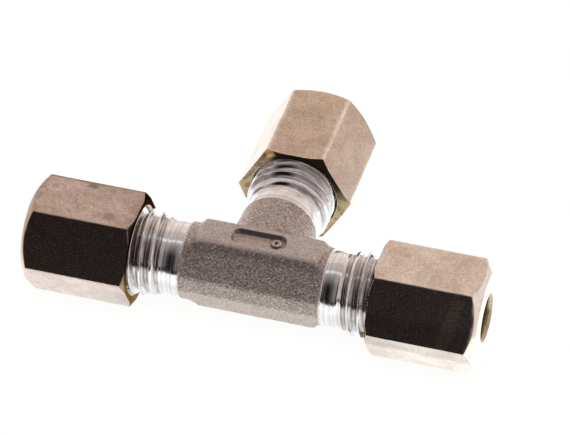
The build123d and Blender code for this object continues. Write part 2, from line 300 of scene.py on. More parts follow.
def signed_volume(mesh):
    mesh.calc_loop_triangles()
    triangles = np.zeros(len(mesh.loop_triangles) * 3, np.int32)
    mesh.loop_triangles.foreach_get("vertices", triangles)
    v = vectors(mesh.vertices, "co")[triangles.reshape(-1, 3)]
    return float(np.einsum("ij,ij->i", v[:, 0], np.cross(v[:, 1], v[:, 2])).sum() / 6)


def grid_points(radii, heights, phi):
    angles = np.broadcast_to(phi, radii.shape)
    points = np.stack([radii * np.cos(angles), radii * np.sin(angles), heights], -1)
    return points.reshape(-1, 3)


def grid_mesh(name, rows, phi, attributes=None):
    """Closed quad mesh from rows; columns run along phi, with the last on the first."""
    radii = np.array([r for r, _ in rows])
    heights = np.array([along for _, along in rows])
    row_count, width = radii.shape
    mesh = bpy.data.meshes.new(name)
    row = np.arange(row_count)[:, None]
    column = np.arange(width - 1)[None, :]
    this, after = row * width + column, (row + 1) % row_count * width + column
    quads = np.stack([this, this + 1, after + 1, after], -1).reshape(-1, 4)
    mesh.from_pydata(grid_points(radii, heights, phi).tolist(), [], quads.tolist())
    for key, values in (attributes or {}).items():
        set_attribute(mesh, key, values)
    bm = bmesh.new()
    bm.from_mesh(mesh)
    bmesh.ops.remove_doubles(bm, verts=bm.verts, dist=2e-4)
    bmesh.ops.dissolve_degenerate(bm, edges=bm.edges, dist=1e-5)
    loose = [v for v in bm.verts if not v.link_faces]
    if loose:
        bmesh.ops.delete(bm, geom=loose, context="VERTS")
    rim = [e for e in bm.edges if e.is_boundary]
    if rim:      # slivers along the seam where a thread starts or runs out
        bmesh.ops.holes_fill(bm, edges=rim, sides=8)
    bmesh.ops.recalc_face_normals(bm, faces=bm.faces)
    bm.to_mesh(mesh)
    bm.free()
    if signed_volume(mesh) < 0:
        mesh.flip_normals()
    return mesh


def place(name, mesh, matrix, body, material, smooth):
    """Adds a mesh as an object; edges sharper than smooth degrees stay sharp."""
    mesh.transform(matrix)
    mesh.shade_smooth()
    mesh.set_sharp_from_angle(angle=math.radians(smooth))
    mesh.update()
    ob = bpy.data.objects.new(name, mesh)
    bpy.context.scene.collection.objects.link(ob)
    ob.data.materials.append(material)
    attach(ob, body)
    return ob


# ------------------------------------------------------------------- male ends
def male_end(port, material):
    """Neck, thread, cone mouth, tube socket and through bore of one port."""
    phi = np.linspace(0.0, TAU, (160) + 1)
    phase = thread_phase(port)
    thread_start = RUNOUT_AT - 0.15
    hidden_end = spaced([(PASS_R, HIDDEN_AT), (ROOT_R - 0.02, HIDDEN_AT)], 3.0)[:-1]
    neck = spaced([(ROOT_R, HIDDEN_AT + 0.02), (ROOT_R, thread_start)], 0.12)[:-1]
    neck = [      # slightly barrelled
        (r + NECK_BULGE * max(0.0, 1 - ((along - NECK_MID_AT) / NECK_HALF) ** 2), along)
        for r, along in neck
    ]
    rows = rows_from(hidden_end + neck, phi)
    rows += thread_rows(
        thread_start, END_AT, phi, phase,
        lambda along: male_radius(along, phi, phase), HALF_MALE,
    )
    inside = round_corners([      # r, along, corner radius
        (LEAD_R - 0.03, END_AT, 0), (CONE_R + 0.02, END_AT, 0.07),
        (SOCKET_R, CONE_AT, 0.1), (SOCKET_R, STOP_AT, 0),
        (PASS_R, STOP_AT, 0.08), (PASS_R, HIDDEN_AT, 0),
    ])
    rows += rows_from(spaced(inside, 0.6)[:-1], phi)
    name = "male_end_" + port
    mesh = grid_mesh(name, rows, phi)
    return place(name, mesh, port_matrix(port), "tee", material, smooth=38.0)


# ---------------------------------------------------------------------- nuts
FLATS, TURNED, THREAD, BACK = 0.0, 1.0, 2.0, 3.0     # values of the "zone" attribute
NOISE_SHIFT = {"left": 3.0, "right": 41.0, "branch": 77.0}
SIXTH, TWELFTH = math.radians(60), math.radians(30)
EDGE_SOFT = 0.09      # width of the softened outer edge


def hex_columns():
    """Column angles, closer together round the six corners."""
    on_flat = np.linspace(0, 1, 15)
    on_corner = np.linspace(0, 1, 7)
    reach = NUT_AF / 2 / math.cos(TWELFTH) - NUT_ROUND * (1 / math.cos(TWELFTH) - 1)
    turn = math.asin((NUT_ROUND * math.sin(TWELFTH)) / reach) * 1.15
    side = np.concatenate([turn * on_corner[:-1], turn + (TWELFTH - turn) * on_flat])
    sector = np.concatenate([-side[::-1][:-1], side])[:-1]
    phi = np.concatenate([sector + SIXTH * k for k in range(6)])
    return np.append(phi, phi[0] + TAU)


def hex_radius(phi):
    """Radius of the rounded hexagon and angle from its nearest corner, per column."""
    off_corner = np.abs((phi + SIXTH / 2) % SIXTH - SIXTH / 2)
    flat = NUT_AF / 2 / np.cos(TWELFTH - off_corner)
    centre = (NUT_AF / 2 - NUT_ROUND) / math.cos(TWELFTH)
    inside = NUT_ROUND ** 2 - (centre * np.sin(off_corner)) ** 2
    arc = centre * np.cos(off_corner) + np.sqrt(np.maximum(inside, 0))
    # the arc holds until it touches the flat
    touch = math.atan2(
        NUT_ROUND * math.sin(TWELFTH), centre + NUT_ROUND * math.cos(TWELFTH)
    )
    return np.where(off_corner < touch, arc, flat), off_corner


def nut_outside(phi):
    """Stations (radius, depth, wear, zone) from the tube entry round to the thread."""
    hexagon, off_corner = hex_radius(phi)
    stations = [
        # tube entry
        (NUT_TUBE_R + 0.02, ENTRY_DEPTH, 0.3, TURNED),
        (NUT_TUBE_R + 0.05, 0.38, 0.3, TURNED),
        (NUT_TUBE_R + 0.2, 0.23, 0.3, TURNED),
        (NUT_MOUTH_R - 0.06, 0.06, 0.3, TURNED),
        (NUT_MOUTH_R - 0.02, 0.02, 0.3, TURNED),
        # outer face
        (NUT_MOUTH_R + 0.06, 0.0, 0.2, TURNED),
    ]
    for r in np.linspace(NUT_MOUTH_R + 0.3, NUT_FACE_R - 0.25, 12):
        stations.append((r, 0.0, 0.0, TURNED))
    stations += [
        (NUT_FACE_R - 0.07, 0.0, 0.4, TURNED),
        (NUT_FACE_R - 0.02, 0.004, 0.5, TURNED),
        (NUT_FACE_R + 0.04, 0.032, 0.4, TURNED),
    ]
    # chamfer to the hexagon and its softened edge
    depth = (hexagon - NUT_FACE_R) * FACE_SLOPE
    chamfer_r = NUT_FACE_R + 0.06
    for part in (0.2, 0.4, 0.6, 0.8):
        r = chamfer_r + (hexagon - EDGE_SOFT - NUT_FACE_R - 0.06) * part
        stations.append((r, (r - NUT_FACE_R) * FACE_SLOPE, 0.1, TURNED))
    stations += [
        (hexagon - EDGE_SOFT, depth - EDGE_SOFT * FACE_SLOPE, 0.5, TURNED),
        (hexagon - EDGE_SOFT * 0.42, depth - 0.005, 1.0, 0.7),
        (hexagon - EDGE_SOFT * 0.12, depth + 0.045, 1.0, 0.3),
    ]
    # flats, worn at the corners
    corner_wear = np.exp(-(off_corner / math.radians(1.8)) ** 2)
    over = np.maximum(hexagon - NUT_BACK_R, 0.0)
    back_depth = NUT_LEN - over * BACK_SLOPE
    first, last = depth + 0.13, back_depth - 0.10
    steps = 44
    for k in range(steps + 1):
        stations.append((hexagon, first + (last - first) * (k / steps), corner_wear, FLATS))
    # back chamfer and back face
    soft = np.minimum(0.06, over * 0.4 + 0.02)
    rim = np.minimum(hexagon, NUT_BACK_R)

    def on_back(r):
        return NUT_LEN - np.maximum(r - NUT_BACK_R, 0) * BACK_SLOPE

    stations += [
        (hexagon - 0.006, back_depth - 0.035, 0.8, 0.2),
        (hexagon - soft * 0.35, back_depth - (over < 0.02) * 0.005, 1.0, BACK),
        (hexagon - soft, on_back(hexagon - soft), 0.5, BACK),
    ]
    for part in (0.33, 0.66):
        r = hexagon - soft - (hexagon - soft - rim) * part
        stations.append((r - 0.02 * part, on_back(r), 0.2, BACK))
    stations.append((rim - 0.08, NUT_LEN, 0.2, BACK))
    for r in np.linspace(6.85, NUT_MAJOR_R + 0.22, 5):
        stations.append((r, NUT_LEN, 0.0, BACK))
    return stations


def nut_chamber(face):
    """Stations from the thread relief back to the tube entry."""
    seat = NUT_CHAMBER_R - NUT_TUBE_R
    profile = round_corners([      # r, along, corner radius
        (NUT_MAJOR_R, face - RELIEF_END, 0), (NUT_MAJOR_R, face - RELIEF_START - 0.4, 0.05),
        (NUT_CHAMBER_R, face - RELIEF_START, 0.1),
        (NUT_CHAMBER_R, face - SEAT_DEPTH - seat, 0.2),
        (NUT_TUBE_R, face - SEAT_DEPTH, 0.08), (NUT_TUBE_R, face - ENTRY_DEPTH, 0),
    ])
    return [(r, face - along, 0.0, TURNED) for r, along in spaced(profile, 0.5)[1:-1]]


def worn_radii(port, radii, heights, phi, wear, zone):
    """Presses shallow dings into corners and rims, and makes the flats slightly wavy."""
    points = grid_points(radii, heights, phi) + NOISE_SHIFT[port]
    ding = np.clip(value_noise(points, scale=0.9, seed=5) - 0.35, 0, 1)
    ding = ding + np.clip(value_noise(points, scale=0.45, seed=8) - 0.5, 0, 1)
    wave = value_noise(points, scale=4.0, seed=17) * 0.006
    wave = wave + value_noise(points, scale=1.6, seed=21) * 0.0022
    wave -= 0.007
    shape = radii.shape
    unthreaded = (zone < 1.5) | (zone > 2.5)
    outside = (radii > 6.6) & unthreaded
    worn = radii - (wear * 0.055 * ding.reshape(shape)) * outside
    worn = worn + wave.reshape(shape) * (zone < 0.1) * outside
    # the last column closes on the first
    worn[:, -1] = np.where(unthreaded[:, -1], worn[:, 0], radii[:, -1])
    return worn


def nut(port, material):
    phi = hex_columns()
    one = np.ones_like(phi)
    face = OUTER_FACE_AT[port]
    back, relief = face - NUT_LEN, face - RELIEF_END
    phase = thread_phase(port)

    def full(stations):
        return [(one * r, face - one * depth, one * w, one * z) for r, depth, w, z in stations]

    thread = thread_rows(
        back, relief, phi, phase,
        lambda along: female_radius(along, phi, phase, back, relief), HALF_FEMALE,
    )
    rows = full(nut_outside(phi))
    rows += [(r, along, one * 0.1, one * THREAD) for r, along in thread]
    rows += full(nut_chamber(face))
    radii, heights, wear, zone = (np.array(values) for values in zip(*rows))
    radii = worn_radii(port, radii, heights, phi, wear, zone)
    name = "union_nut_shell_" + port
    mesh = grid_mesh(name, list(zip(radii, heights)), phi, {"wear": wear, "zone": zone})
    ob = place(name, mesh, port_matrix(port), port + "_nut", material, smooth=42.0)
    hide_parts("union_nut_" + port)


# --------------------------------------------------------------- cutting rings
RING_PROFILE = [      # r, distance from the nose, corner radius
    (SOCKET_R, 0, 0.05), (3.62, 0, 0.06), (3.72, 0.55, 0.1), (3.98, 2.4, 0.02),
    (4.02, 2.45, 0.02), (4.32, 4.9, 0.2), (4.32, 5.5, 0.3), (4.85, 6.3, 0.15),
    (4.85, 7.85, 0.15), (3.2, RING_LEN, 0.05), (SOCKET_R, RING_LEN, 0.04),
    (SOCKET_R, 3.4, 0.05), (3.2, 3.2, 0.05), (3.2, 1.15, 0.05), (SOCKET_R, 0.9, 0.05),
]


def ring(port, material):
    phi = np.linspace(0.0, TAU, (128) + 1)
    nose = OUTER_FACE_AT[port] - RING_SEAT - RING_LEN
    points = spaced(round_corners(RING_PROFILE), 0.35, closed=True)
    name = "cutting_ring_shell_" + port
    mesh = grid_mesh(name, rows_from([(r, nose + t) for r, t in points], phi), phi)
    ob = place(name, mesh, port_matrix(port), port + "_ring", material, smooth=38.0)
    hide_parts("cutting_ring_" + port)


# ------------------------------------------------------------------ the forging
# Places here are in millimetres from the crossing of the bores, in the world's directions.
def bore_masks(x, y, z):
    """Distances from the run's and the branch's axis, and whether a point is in a bore."""
    run_r, branch_r = np.hypot(y, z), np.hypot(x, z)
    return run_r, branch_r, (run_r < 3.0) | ((branch_r < 3.0) & (y > -0.5))


def soften(mesh):
    """Rounds the die-forged edges; shoulders, bores and pocket stay as they are."""
    start = vectors(mesh.vertices, "co")
    count = len(start)
    x, y, z = start.T
    run_r, branch_r, in_bore = bore_masks(x, y, z)
    weight = np.clip((SHOULDER_AT - 0.45 - np.maximum(np.abs(x), y)) / 0.5, 0, 1)
    weight *= np.where((run_r < 3.4) & (np.abs(x) > 6), 0, 1)
    weight *= np.where((branch_r < 3.4) & (y > 6), 0, 1)
    weight = np.where(in_bore, 0.0, weight)
    off_pocket = np.maximum(np.maximum(np.abs(x) - 4.3, -1.7 - y), y - 2.1)
    off_pocket = np.clip(off_pocket / 0.4, 0, 1)
    weight = np.where(z > 4.9, weight * np.maximum(off_pocket, 0.12), weight)
    edges = np.zeros(len(mesh.edges) * 2, np.int32)
    mesh.edges.foreach_get("vertices", edges)
    a, b = edges.reshape(-1, 2).T
    links = np.bincount(a, minlength=count) + np.bincount(b, minlength=count)
    links = np.maximum(links, 1)[:, None]
    co = start.copy()
    for _ in range(26):
        total = np.stack(
            [np.bincount(a, co[b, k], count) + np.bincount(b, co[a, k], count) for k in range(3)],
            1,
        )
        co = co + (total / links - co) * (weight * 0.6)[:, None]
    move = co - start
    length = np.linalg.norm(move, axis=1, keepdims=True)
    furthest = 0.35
    set_positions(mesh, start + move * np.minimum(1.0, furthest / np.maximum(length, 1e-9)))
    mesh.update()


def forging_skin():
    """The CAD body cut off at its three shoulders and remeshed evenly."""
    mesh = frame["nodes"]["tee_body"].data.copy()
    mesh.transform(Matrix.Scale(1 / MM, 4))
    mesh.transform(Matrix.Translation((0, 0, -AXIS_Z)))
    bm = bmesh.new()
    bm.from_mesh(mesh)
    bmesh.ops.remove_doubles(bm, verts=bm.verts, dist=1e-4)
    bm.to_mesh(mesh)
    bm.free()
    work = bpy.data.objects.new("forging_work", mesh)
    cutter_mesh = bpy.data.meshes.new("cutter")
    wide = 40
    bm = bmesh.new()
    bmesh.ops.create_cube(bm, size=1.0)
    for v in bm.verts:
        y = v.co.y * wide + SHOULDER_AT - wide / 2
        v.co = Vector((v.co.x * 2 * SHOULDER_AT, y, v.co.z * wide))
    bm.to_mesh(cutter_mesh)
    bm.free()
    cutter = bpy.data.objects.new("cutter_work", cutter_mesh)
    for ob in (work, cutter):
        bpy.context.scene.collection.objects.link(ob)
    cut = work.modifiers.new("cut", "BOOLEAN")
    cut.operation, cut.solver, cut.object = "INTERSECT", "EXACT", cutter
    remesh = work.modifiers.new("skin", "REMESH")
    remesh.mode = "VOXEL"
    remesh.voxel_size = 0.1
    bpy.context.view_layer.update()
    graph = bpy.context.evaluated_depsgraph_get()
    skin = bpy.data.meshes.new_from_object(work.evaluated_get(graph), depsgraph=graph)
    bpy.data.objects.remove(work)
    bpy.data.objects.remove(cutter)
    skin.name = "tee_forging"
    skin.materials.clear()
    return skin


def blast(mesh):
    """Pits the skin and stores the masks that the material reads."""
    co = vectors(mesh.vertices, "co")
    normal = vectors(mesh.vertices, "normal")
    x, y, z = co.T
    in_bore = bore_masks(x, y, z)[2]
    shoulder = np.minimum(SHOULDER_AT - np.abs(x), SHOULDER_AT - y)
    shoulder = np.where((np.abs(x) > 9) | (y > 9), shoulder, 1.0)
    skin = np.clip((shoulder - 0.05) / 0.25, 0, 1) * (~in_bore)
    # pocket floor, and the die-flattened top around it
    pocket = (np.abs(x) < 3.7) & (y > -1.2) & (y < 1.5) & (z > 5.4) & (z < 5.75)
    calm = np.clip((z - 5.6) / 0.3, 0, 1) * np.clip((3.4 - y) / 0.6, 0, 1)
    calm = np.where(pocket, 1.0, calm)
    coarse = np.clip(1 - cell_noise(co, scale=0.33, seed=3) * 1.15, 0, 1)
    fine = np.clip(1 - cell_noise(co, scale=0.22, seed=9) * 1.15, 0, 1)
    lump = value_noise(co, scale=1.3, seed=31)
    height = -0.052 * coarse - 0.030 * fine + 0.016 * lump
    height = height + 0.022
    height = height * (1 - 0.55 * calm)
    height = np.where(pocket, height * 0.35, height)
    height = np.minimum(height, 0.014)
    set_positions(mesh, co + normal * (height * skin)[:, None])
    # painted shade: the pocket's front-facing wall, the upper front slope, the front band
    half_x, half_y = POCKET_HALF
    wall = (np.abs(x) < half_x) & (np.abs(y - 0.175) < half_y) & (z > 5.36) & (z < 6.02)
    wall = wall & (normal[:, 1] < -0.35)
    slope = 0.55 * np.clip((z - 4.3) / 1.0, 0, 1) * np.clip((-2.2 - y) / 0.35, 0, 1)
    shade = wall * 1.0 + slope * (normal[:, 2] < 0.86)
    shade = shade + 0.16 * (np.abs(z) < 1.15) * (y < -4.4)
    set_attribute(mesh, "skin", skin)
    set_attribute(mesh, "shade", shade)
    set_attribute(mesh, "calm", calm)
    set_attribute(mesh, "pit", coarse * 0.7 + fine * 0.3)
    mesh.update()


def forging(material):
    mesh = forging_skin()
    soften(mesh)
    blast(mesh)
    matrix = Matrix.Translation((0, 0, AXIS_Z * MM)) @ Matrix.Scale(MM, 4)
    ob = place("tee_forging", mesh, matrix, "tee", material, smooth=60.0)
    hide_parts("tee_body")


# ------------------------------------------------------------------ node helpers
def times(colour, factor):
    return tuple(c * factor for c in colour)


class Tree:
    """Thin helper for node trees; a value may be a number or another node's output."""

    def __init__(self, owner):
        owner.use_nodes = True
        self.tree = owner.node_tree
        self.tree.nodes.clear()

    def new(self, kind, **props):
        node = self.tree.nodes.new(kind)
        for key, value in props.items():
            setattr(node, key, value)
        return node

    def put(self, value, socket):
        if isinstance(value, bpy.types.NodeSocket):
            self.tree.links.new(value, socket)
        else:
            socket.default_value = value

    def math(self, operation, a, b=None, clamp=False):
        node = self.new("ShaderNodeMath", operation=operation, use_clamp=clamp)
        self.put(a, node.inputs[0])
        if b is not None:
            self.put(b, node.inputs[1])
        return node.outputs[0]

    def add(self, a, b):
        return self.math("ADD", a, b)

    def sub(self, a, b):
        return self.math("SUBTRACT", a, b)

    def mul(self, a, b):
        return self.math("MULTIPLY", a, b)

    def peak(self, a, b):
        return self.math("MAXIMUM", a, b)

    def ramp(self, value, span, to=(0.0, 1.0), smooth=True):
        """Maps span (from, to) of the value onto another span, clamped."""
        kind = "SMOOTHSTEP" if smooth else "LINEAR"
        node = self.new("ShaderNodeMapRange", interpolation_type=kind)
        self.put(value, node.inputs["Value"])
        for key, number in zip(("From Min", "From Max", "To Min", "To Max"), (*span, *to)):
            node.inputs[key].default_value = number
        return node.outputs[0]

    def mix(self, base, over, by):
        """Lays one colour over another by a factor."""
        node = self.new("ShaderNodeMix", data_type="RGBA")
        self.put(by, node.inputs["Factor"])
        for colour, socket in ((base, node.inputs[6]), (over, node.inputs[7])):
            self.put((*colour, 1.0) if isinstance(colour, tuple) else colour, socket)
        return node.outputs[2]

    def mix_float(self, base, over, by):
        node = self.new("ShaderNodeMix", data_type="FLOAT")
        for value, socket in zip((by, base, over), (0, 2, 3)):
            self.put(value, node.inputs[socket])
        return node.outputs[0]

    def mix_shader(self, base, over, by):
        node = self.new("ShaderNodeMixShader")
        for value, socket in zip((by, base, over), node.inputs):
            self.put(value, socket)
        return node.outputs[0]

    def split(self, vector):
        node = self.new("ShaderNodeSeparateXYZ")
        self.put(vector, node.inputs[0])
        return node.outputs

    def is_camera(self):
        return self.new("ShaderNodeLightPath").outputs["Is Camera Ray"]


class Metal(Tree):
    """A metallic material; places are object coordinates."""

    def __init__(self, name):
        self.material = bpy.data.materials.new(name)
        super().__init__(self.material)
        out = self.new("ShaderNodeOutputMaterial")
        self.bsdf = self.new("ShaderNodeBsdfPrincipled")
        self.put(self.bsdf.outputs[0], out.inputs["Surface"])

    def finish(self, colour, rough, height):
        """Closes the material; height is in millimetres."""
        self.put(colour, self.bsdf.inputs["Base Color"])
        self.bsdf.inputs["Metallic"].default_value = 1.0
        self.put(rough, self.bsdf.inputs["Roughness"])
        bump = self.new("ShaderNodeBump")
        self.put(height, bump.inputs["Height"])
        bump.inputs["Distance"].default_value = MM
        self.put(bump.outputs[0], self.bsdf.inputs["Normal"])
        return self.material

    def position(self):
        return self.new("ShaderNodeTexCoord").outputs["Object"]

    def coords(self, scale=(1, 1, 1), offset=(0, 0, 0)):
        """Object coordinates in millimetres, scaled."""
        node = self.new("ShaderNodeMapping")
        self.put(self.position(), node.inputs["Vector"])
        node.inputs["Scale"].default_value = [s * 1000.0 for s in scale]
        node.inputs["Location"].default_value = offset
        return node.outputs[0]

    def noise(self, vector, scale, detail, rough, distort=0.0):
        node = self.new("ShaderNodeTexNoise")
        self.put(vector, node.inputs["Vector"])
        node.inputs["Scale"].default_value = scale
        node.inputs["Detail"].default_value = detail
        node.inputs["Roughness"].default_value = rough
        node.inputs["Distortion"].default_value = distort
        return node.outputs[0]

    def lines(self, value, scale, detail, rough=0.6):
        """Noise along a single value."""
        node = self.new("ShaderNodeTexNoise", noise_dimensions="1D")
        self.put(value, node.inputs["W"])
        node.inputs["Scale"].default_value = scale
        node.inputs["Detail"].default_value = detail
        node.inputs["Roughness"].default_value = rough
        return node.outputs[0]

    def attribute(self, name):
        return self.new("ShaderNodeAttribute", attribute_name=name).outputs["Fac"]

    def brighten(self, colour, factor):
        node = self.new("ShaderNodeVectorMath", operation="SCALE")
        self.put(colour, node.inputs[0])
        self.put(factor, node.inputs["Scale"])
        return node.outputs[0]

    def blotch(self, where, size, ragged):
        """Mask of a spot at a point in millimetres, with a ragged edge."""
        node = self.new("ShaderNodeVectorMath", operation="DISTANCE")
        self.put(self.position(), node.inputs[0])
        node.inputs[1].default_value = [c * MM for c in where]
        far = self.mul(node.outputs["Value"], 1000.0)
        far = self.add(far, self.mul(self.sub(ragged, 0.5), size * 2.2))
        return self.ramp(far, span=(size * 1.15, size * 0.55))

    def port_polar(self, port):
        """Radius, place along X or Y, place across it and height, in mm from a port's axis."""
        place_m = self.split(self.position())
        x = self.mul(place_m[0], 1000.0)
        y = self.mul(place_m[1], 1000.0)
        z = self.sub(self.mul(place_m[2], 1000.0), AXIS_Z)
        across, along = (x, y) if port == "branch" else (y, x)
        squares = self.add(self.mul(across, across), self.mul(z, z))
        return self.math("SQRT", squares), along, across, z


# ---------------------------------------------------------------- nut material
# base: clean flats; stain: tarnish; heavy: how much tarnish; face: turned end; rim: edge colour,
# partly wear and partly a painted highlight;
# rough: base roughness; marks: dark spots on the upper flat (point in mm, radius, amount)
NUT_LOOKS = {
    "left": dict(
        base=(0.530, 0.432, 0.395), stain=(0.40, 0.31, 0.25), heavy=1.0,
        face=(0.60, 0.46, 0.34), rim=(0.50, 0.42, 0.33), rough=0.175,
        marks=[((-24.3, 3.35, 13.0), 0.75, 0.75), ((-20.3, -2.4, 13.0), 0.9, 0.35),
               ((-29.2, 1.9, 13.0), 0.5, 0.35)],
    ),
    "right": dict(
        base=(0.672, 0.585, 0.530), stain=(0.58, 0.47, 0.36), heavy=0.45,
        face=(0.80, 0.745, 0.69), rim=(0.80, 0.74, 0.69), rough=0.150,
        marks=[((20.3, 1.4, 13.0), 0.55, 0.35), ((27.5, -1.5, 13.0), 0.4, 0.3)],
    ),
    "branch": dict(
        base=(0.560, 0.456, 0.392), stain=(0.55, 0.43, 0.25), heavy=0.75,
        face=(0.70, 0.62, 0.52), rim=(0.98, 0.90, 0.84), rough=0.17,
        marks=[((1.2, 26.0, 13.0), 0.6, 0.3)],
    ),
}


class NutMetal(Metal):
    """Satin nut with bright turned ends and an inner end with scale and painted shade."""

    def __init__(self, port):
        super().__init__("nut_satin_" + port)
        self.port, self.look = port, NUT_LOOKS[port]
        self.radius, self.along, self.across, self.z = self.port_polar(port)
        self.wear, self.zone = self.attribute("wear"), self.attribute("zone")
        self.turned = self.ramp(self.zone, span=(0.4, 0.9))
        self.inner = self.mul(
            self.ramp(self.zone, span=(2.45, 2.8)), self.ramp(self.radius, span=(6.05, 6.2))
        )
        self.entry = self.mul(self.turned, self.ramp(self.radius, span=(3.47, 3.40)))
        # clouding, tarnish and grain, from coarse to fine
        self.place = self.coords()
        self.cloud = self.noise(self.place, scale=0.24, detail=4, rough=0.6, distort=0.6)
        stain = self.noise(
            self.coords(offset=(7, 3, 1)), scale=0.34, detail=5, rough=0.62, distort=1.2
        )
        self.stain = self.ramp(stain, span=(0.54, 0.72))
        self.mottle = self.noise(
            self.coords(offset=(3, 9, 4)), scale=0.75, detail=5, rough=0.68, distort=0.8
        )
        self.speck = self.noise(self.coords(offset=(1, 5, 8)), scale=3.4, detail=3, rough=0.75)
        self.fine = self.noise(self.place, scale=6.5, detail=3, rough=0.7)

    def flats_colour(self):
        base, stain, heavy = (self.look[key] for key in ("base", "stain", "heavy"))
        fleck = self.noise(self.place, scale=1.9, detail=4, rough=0.72, distort=0.4)
        fleck = self.ramp(fleck, span=(0.57, 0.70))
        clouded = tuple(c * k for c, k in zip(base, (0.76, 0.72, 0.70)))
        colour = self.mix(base, clouded, by=self.ramp(self.cloud, span=(0.35, 0.68)))
        colour = self.mix(colour, stain, by=self.mul(self.stain, 0.60))
        amount = self.ramp(self.mottle, span=(0.50, 0.66), to=(0.0, 0.55 * heavy))
        colour = self.mix(colour, times(stain, 0.74), by=amount)
        colour = self.mix(colour, times(stain, 0.55), by=self.mul(fleck, 0.55 * heavy))
        amount = self.ramp(self.fine, span=(0.3, 0.75), to=(0.0, 0.25))
        colour = self.mix(colour, times(base, 1.25), by=amount)
        # grainy brightness, only where the surface is not turned
        tone = self.mul(
            self.ramp(self.speck, span=(0.33, 0.67), to=(0.80, 1.18), smooth=False),
            self.ramp(self.fine, span=(0.3, 0.7), to=(0.88, 1.12), smooth=False),
        )
        colour = self.brighten(colour, self.mix_float(tone, 1.0, by=self.turned))
        for where, size, amount in self.look["marks"]:
            mark = self.blotch(where, size, self.mottle)
            colour = self.mix(colour, times(stain, 0.38), by=self.mul(mark, amount))
        return colour

    def scratches(self, colour):
        """Slanting scratches at the front right of the left nut's upper flat."""
        ragged = self.coords(scale=(1.0, -0.62, 1.0), offset=(2, 0, 0))
        ragged = self.noise(ragged, scale=1.0, detail=1, rough=0.5)
        slant = self.add(self.mul(self.along, 1.9), self.mul(self.across, 3.1))
        slant = self.lines(slant, scale=1.25, detail=3, rough=0.7)
        area = self.blotch((-18.9, -2.6, 13.0), size=2.6, ragged=ragged)
        amount = self.mul(self.ramp(slant, span=(0.53, 0.62)), self.mul(area, 0.55))
        return self.mix(colour, (0.20, 0.155, 0.13), by=amount)

    def turned_ends(self, colour):
        """Turned outer face and the golden tint of the tube entry."""
        face = self.look["face"]
        bright = self.mix(face, times(face, 0.80), by=self.ramp(self.mottle, span=(0.42, 0.66)))
        if self.port == "left":      # darker chamfer
            # painted reflection: the left nut's chamfer is painted a darker brown
            chamfer = self.ramp(self.radius, span=(6.36, 6.46))
            bright = self.mix(bright, (0.40, 0.285, 0.20), by=chamfer)
        colour = self.mix(colour, bright, by=self.turned)
        return self.mix(colour, (0.37, 0.275, 0.155), by=self.entry)

    def browning(self, colour):
        """Brown back, ends and back edge of the left nut's upper side."""
        brown = self.peak(
            self.ramp(self.across, span=(2.2, 4.2)), self.ramp(self.along, span=(-29.4, -31.2))
        )
        brown = self.peak(brown, self.ramp(self.along, span=(-18.6, -16.9)))
        brown = self.mul(
            self.mul(brown, self.ramp(self.z, span=(6.3, 6.8))),
            self.ramp(self.mottle, span=(0.36, 0.60), to=(0.25, 0.85)),
        )
        colour = self.mix(colour, (0.27, 0.205, 0.17), by=self.mul(brown, 0.75))
        back_edge = self.mul(
            self.ramp(self.z, span=(6.4, 6.9)), self.ramp(self.across, span=(3.55, 4.0))
        )
        return self.mix(colour, (0.17, 0.13, 0.11), by=self.mul(back_edge, 0.85))

    def inner_end(self, colour):
        """Painted shade above, nearly black; olive-gold scale below."""
        uneven = self.mul(self.sub(self.mottle, 0.5), 2.0)
        low = self.ramp(self.add(self.z, uneven), span=(2.6, -0.6))
        if self.port == "branch":      # the scale also climbs its left side
            side = self.add(self.across, self.mul(self.mottle, 1.2))
            low = self.peak(low, self.ramp(side, span=(-1.9, -3.3)))
        # painted shade: nearly black high on the inner end; real olive-gold scale low down
        scale = self.mix((0.050, 0.036, 0.026), (0.41, 0.310, 0.185), by=low)
        amount = self.ramp(self.mottle, span=(0.46, 0.60), to=(0.0, 0.75))
        scale = self.mix(scale, (0.15, 0.105, 0.06), by=self.mul(low, amount))
        amount = self.ramp(self.speck, span=(0.52, 0.68), to=(0.0, 0.5))
        scale = self.mix(scale, (0.50, 0.43, 0.30), by=self.mul(low, amount))
        return self.mix(colour, scale, by=self.inner)

    def colour(self):
        colour = self.flats_colour()
        if self.port == "left":
            colour = self.scratches(colour)
        colour = self.turned_ends(colour)
        # edges and corners take the rim colour: partly wear, partly a painted highlight
        worn = self.ramp(self.mottle, span=(0.32, 0.6), to=(0.75, 0.35))
        colour = self.mix(colour, self.look["rim"], by=self.mul(self.wear, worn))
        if self.port == "left":
            colour = self.browning(colour)
        colour = self.inner_end(colour)
        if self.port == "branch":      # painted highlight: an orange glint on one corner of the inner chamfer
            spot = self.blotch((-3.55, 16.95, 12.75), size=0.85, ragged=self.mottle)
            tint = self.mul(spot, self.ramp(self.zone, span=(2.3, 2.8)))
            colour = self.mix(colour, (1.0, 0.66, 0.36), by=tint)
        if self.port == "right":       # painted shade: its front flat is a little darker
            front = self.ramp(self.across, span=(-6.2, -6.8))
            painted_front_shade = self.mul(front, self.sub(1.0, self.turned))
            colour = self.brighten(colour, self.sub(1.0, self.mul(painted_front_shade, 0.24)))
        return colour

